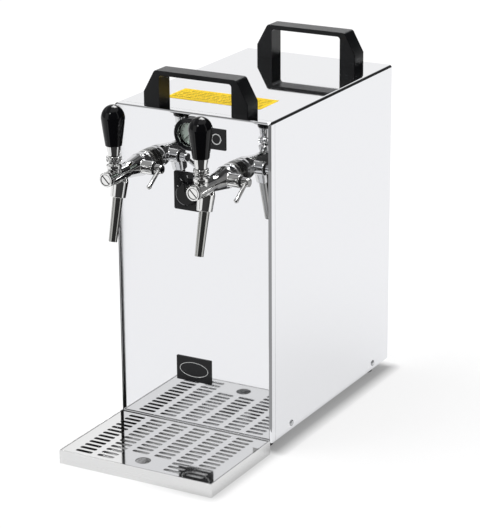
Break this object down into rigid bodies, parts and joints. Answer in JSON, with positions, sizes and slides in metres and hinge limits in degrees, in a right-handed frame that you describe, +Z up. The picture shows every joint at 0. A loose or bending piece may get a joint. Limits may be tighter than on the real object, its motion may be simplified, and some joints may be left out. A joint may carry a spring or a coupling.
{
  "type": "counter-top beer dispenser with taps",
  "caption": "Counter-top beer dispenser: polished steel casing, lever taps, drip tray, carry handles, pressure gauge and thermostat, with a cooling core, coils, pump and fan inside.",
  "frame": {"origin": "on the counter, under the middle of the whole object's box", "axes": "+Z up, -Y towards the front with the taps and drip tray, +X to the right seen from the front"},
  "size_m": [0.2282, 0.513, 0.4835],
  "materials": {
    "case_steel": "mirror-polished stainless steel sheet",
    "pan_steel": "plain zinc-plated steel sheet",
    "tray_steel": "brushed stainless steel sheet",
    "grille_steel": "polished stainless steel sheet",
    "tap_chrome": "polished chrome plate",
    "tap_steel": "satin stainless steel",
    "screw_steel": "zinc-plated steel",
    "knob_black": "glossy black moulding",
    "black_plastic": "satin black moulding",
    "black_rubber": "matt black rubber",
    "label_foil": "printed yellow foil with ruled marks",
    "badge_black": "glossy black plate",
    "plate_steel": "black plate with white scale marks",
    "dial_face": "pale dial with a plain scale",
    "needle_black": "black enamel",
    "lens_clear": "clear window",
    "brass_plain": "plain brass",
    "core_aluminium": "cast surface",
    "copper_tube": "plain copper",
    "coil_steel": "plain stainless tube",
    "foam": "pale rigid foam",
    "compressor_paint": "black baked paint",
    "frame_zinc": "zinc-plated steel sheet",
    "fan_plastic": "black moulding",
    "pump_paint": "grey paint",
    "fitting_grey": "grey moulding",
    "rocker_black": "black moulding"
  },
  "bodies": {
    "cooler": {"front_panel": "case_steel", "wrap_cover": "case_steel", "base_pan": "pan_steel", "rear_panel": "pan_steel", "feet": "black_rubber", "cover_screws": "screw_steel", "rear_screws": "screw_steel", "front_handle": "black_plastic", "rear_handle": "black_plastic", "handle_screws": "screw_steel", "top_label": "label_foil", "badge_plate": "badge_black", "ring_plate": "badge_black", "gauge_case": "badge_black", "gauge_dial": "dial_face", "gauge_lens": "lens_clear", "gauge_stem": "brass_plain", "thermostat_plate": "plate_steel", "thermostat_body": "black_plastic", "lever_seals": "black_rubber", "bonnet_nuts": "tap_chrome", "tap_gaskets": "black_rubber", "nose_caps": "tap_chrome", "tap_shanks": "tap_steel", "shank_nuts": "brass_plain", "block_frame": "frame_zinc", "insulation_jacket": "foam", "cooling_core": "core_aluminium", "evaporator": "copper_tube", "beer_coils": "coil_steel", "beer_lines": "coil_steel", "refrigeration_compressor": "compressor_paint", "condenser": "core_aluminium", "fan_frame": "fan_plastic", "air_pump": "pump_paint", "beer_inlets": "fitting_grey", "air_outlet": "fitting_grey", "cord_gland": "black_plastic", "switch_frame": "black_plastic", "left_tap_body": "tap_chrome", "left_spout": "tap_steel", "right_tap_body": "tap_chrome", "right_spout": "tap_steel"},
    "left_tap_handle": {"left_handle_stem": "tap_chrome", "left_lock_nut": "tap_chrome", "left_ferrule": "tap_chrome", "left_knob": "knob_black"},
    "right_tap_handle": {"right_handle_stem": "tap_chrome", "right_lock_nut": "tap_chrome", "right_ferrule": "tap_chrome", "right_knob": "knob_black"},
    "left_flow_lever": {"left_lever": "tap_chrome"},
    "right_flow_lever": {"right_lever": "tap_chrome"},
    "thermostat_dial": {"thermostat_knob": "knob_black", "thermostat_spindle": "screw_steel"},
    "needle": {"gauge_needle": "needle_black"},
    "fan": {"fan_rotor": "fan_plastic"},
    "tray": {"drip_tray": "tray_steel"},
    "grille": {"drip_grille": "grille_steel"},
    "rocker": {"switch_rocker": "rocker_black"}
  },
  "joints": [
    {"name": "left_tap_tilt", "type": "hinge", "parent": "cooler", "child": "left_tap_handle", "pos_m": [-0.062, -0.1862, 0.3795], "axis": [1, 0, 0], "range_deg": [-12, 22]},
    {"name": "left_flow_turn", "type": "hinge", "parent": "cooler", "child": "left_flow_lever", "pos_m": [-0.028, -0.1357, 0.3695], "axis": [1, 0, 0], "range_deg": [-34, 66]},
    {"name": "right_tap_tilt", "type": "hinge", "parent": "cooler", "child": "right_tap_handle", "pos_m": [0.062, -0.1862, 0.3795], "axis": [1, 0, 0], "range_deg": [-12, 22]},
    {"name": "right_flow_turn", "type": "hinge", "parent": "cooler", "child": "right_flow_lever", "pos_m": [0.096, -0.1357, 0.3695], "axis": [1, 0, 0], "range_deg": [-34, 66]},
    {"name": "thermostat_turn", "type": "hinge", "parent": "cooler", "child": "thermostat_dial", "pos_m": [0, -0.1122, 0.3357], "axis": [0, 1, 0], "range_deg": [-135, 135]},
    {"name": "needle_sweep", "type": "hinge", "parent": "cooler", "child": "needle", "pos_m": [0, -0.1042, 0.4115], "axis": [0, 1, 0], "range_deg": [0, 270], "stiffness_Nm_per_rad": 0.00002},
    {"name": "fan_spin", "type": "hinge", "parent": "cooler", "child": "fan", "pos_m": [0, 0.1805, 0.0772], "axis": [0, 1, 0], "continuous": true},
    {"name": "tray_pull", "type": "slide", "parent": "cooler", "child": "tray", "axis": [0, -1, 0], "range_m": [0, 0.06]},
    {"name": "grille_lift", "type": "slide", "parent": "tray", "child": "grille", "axis": [0, 0, 1], "range_m": [0, 0.03]},
    {"name": "rocker_tilt", "type": "hinge", "parent": "cooler", "child": "rocker", "pos_m": [0.084, 0.2395, 0.205], "axis": [1, 0, 0], "range_deg": [0, 10]}
  ]
}
